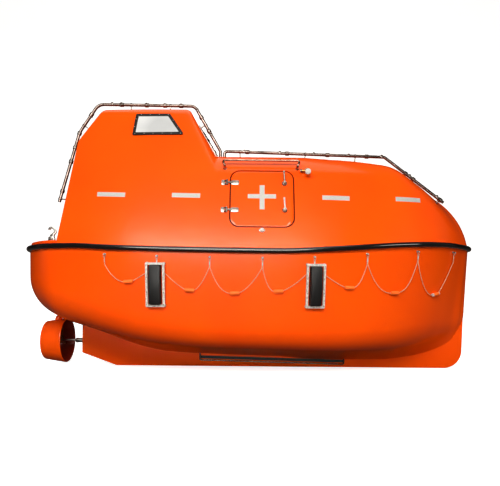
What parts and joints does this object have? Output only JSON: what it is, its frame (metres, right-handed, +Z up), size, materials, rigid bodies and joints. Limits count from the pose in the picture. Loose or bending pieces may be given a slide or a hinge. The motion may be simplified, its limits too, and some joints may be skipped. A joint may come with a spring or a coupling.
{
  "type": "totally enclosed lifeboat",
  "caption": "Totally enclosed davit-launched lifeboat with an aft conning tower, side doors, end hatches, water-spray pipes, becketed lifelines and a steering nozzle.",
  "frame": {"origin": "on the centreline amidships, at the water's surface, 0.60 m above the keel's flat", "axes": "+X to the bow, +Y to port, +Z up"},
  "size_m": [5.4186, 2.3766, 3.1171],
  "materials": {
    "orange gelcoat": "high gloss",
    "pale inner moulding": "satin",
    "black rubber": "smooth",
    "polished stainless steel": "polished",
    "propeller bronze": "cast and polished",
    "brass": "polished",
    "pale rope": "matt",
    "engine grey": "satin"
  },
  "bodies": {
    "boat": {"aft_deck": "orange gelcoat", "aft_hatch_hinge": "polished stainless steel", "aft_hook_post": "polished stainless steel", "bow_bracket": "pale inner moulding", "cabin_benches": "pale inner moulding", "cabin_sole": "pale inner moulding", "canopy_shell": "orange gelcoat", "door_hinge_lower_port": "polished stainless steel", "door_hinge_lower_starboard": "polished stainless steel", "door_hinge_upper_port": "polished stainless steel", "door_hinge_upper_starboard": "polished stainless steel", "door_rail_port": "polished stainless steel", "door_rail_starboard": "polished stainless steel", "engine_block": "engine grey", "fender_aft_port": "black rubber", "fender_aft_starboard": "black rubber", "fender_fore_port": "black rubber", "fender_fore_starboard": "black rubber", "fore_hatch_hinge": "polished stainless steel", "fore_hook_post": "polished stainless steel", "gunwale_fender": "black rubber", "helm_console": "pale inner moulding", "helm_seat": "pale inner moulding", "hose_connection": "brass", "hull_shell": "orange gelcoat", "keel_cooler_port": "polished stainless steel", "keel_cooler_starboard": "polished stainless steel", "lifeline_port": "pale rope", "lifeline_starboard": "pale rope", "roof_spray_pipe_port": "polished stainless steel", "roof_spray_pipe_starboard": "polished stainless steel", "stern_tube": "polished stainless steel", "tower_spray_pipe_port": "polished stainless steel", "tower_spray_pipe_starboard": "polished stainless steel", "window_aft": "black rubber", "window_front": "black rubber", "window_port": "black rubber", "window_starboard": "black rubber"},
    "door_port": {"side_door_port": "orange gelcoat", "door_strap_lower_port": "polished stainless steel", "door_strap_upper_port": "polished stainless steel", "door_handle_lower_port": "polished stainless steel", "door_handle_upper_port": "polished stainless steel"},
    "door_starboard": {"side_door_starboard": "orange gelcoat", "door_strap_lower_starboard": "polished stainless steel", "door_strap_upper_starboard": "polished stainless steel", "door_handle_lower_starboard": "polished stainless steel", "door_handle_upper_starboard": "polished stainless steel"},
    "aft_hatch": {"aft_hatch": "orange gelcoat", "aft_hatch_strap": "polished stainless steel"},
    "fore_hatch": {"fore_hatch": "orange gelcoat", "fore_hatch_strap": "polished stainless steel"},
    "steering_nozzle": {"steering_nozzle": "orange gelcoat"},
    "helm_wheel": {"helm_wheel": "black rubber"},
    "propeller": {"propeller": "propeller bronze"},
    "aft_hook": {"aft_hook": "polished stainless steel"},
    "fore_hook": {"fore_hook": "polished stainless steel"}
  },
  "joints": [
    {"name": "side_door_port", "type": "hinge", "parent": "boat", "child": "door_port", "pos_m": [-0.243, 0.98981, 1.32438], "axis": [0, -0.2917, 0.9565], "range_deg": [0, 110]},
    {"name": "side_door_starboard", "type": "hinge", "parent": "boat", "child": "door_starboard", "pos_m": [-0.243, -0.98981, 1.32438], "axis": [0, -0.2917, -0.9565], "range_deg": [0, 110]},
    {"name": "aft_hatch", "type": "hinge", "parent": "boat", "child": "aft_hatch", "pos_m": [-2.01262, 0.316, 1.45148], "axis": [-0.0997, 0, -0.995], "range_deg": [0, 110]},
    {"name": "fore_hatch", "type": "hinge", "parent": "boat", "child": "fore_hatch", "pos_m": [1.84263, 0, 1.75131], "axis": [0, -1, 0], "range_deg": [0, 100]},
    {"name": "steering_nozzle", "type": "hinge", "parent": "boat", "child": "steering_nozzle", "pos_m": [-2.375, 0, -0.294], "axis": [0, 0, 1], "range_deg": [-35, 35]},
    {"name": "helm_wheel", "type": "hinge", "parent": "boat", "child": "helm_wheel", "pos_m": [-1.055, 0, 1.74], "axis": [1, 0, 0], "range_deg": [-450, 450]},
    {"name": "propeller", "type": "hinge", "parent": "boat", "child": "propeller", "pos_m": [-2.375, 0, -0.294], "axis": [1, 0, 0], "continuous": true},
    {"name": "aft_hook", "type": "hinge", "parent": "boat", "child": "aft_hook", "pos_m": [-2.47, 0, 0.9666], "axis": [0, 1, 0], "range_deg": [0, 75]},
    {"name": "fore_hook", "type": "hinge", "parent": "boat", "child": "fore_hook", "pos_m": [2.08, 0, 1.1203], "axis": [0, 1, 0], "range_deg": [0, 75]}
  ],
  "couplings": [
    {"joint": "steering_nozzle", "follows": "helm_wheel", "ratio": 0.0775}
  ]
}
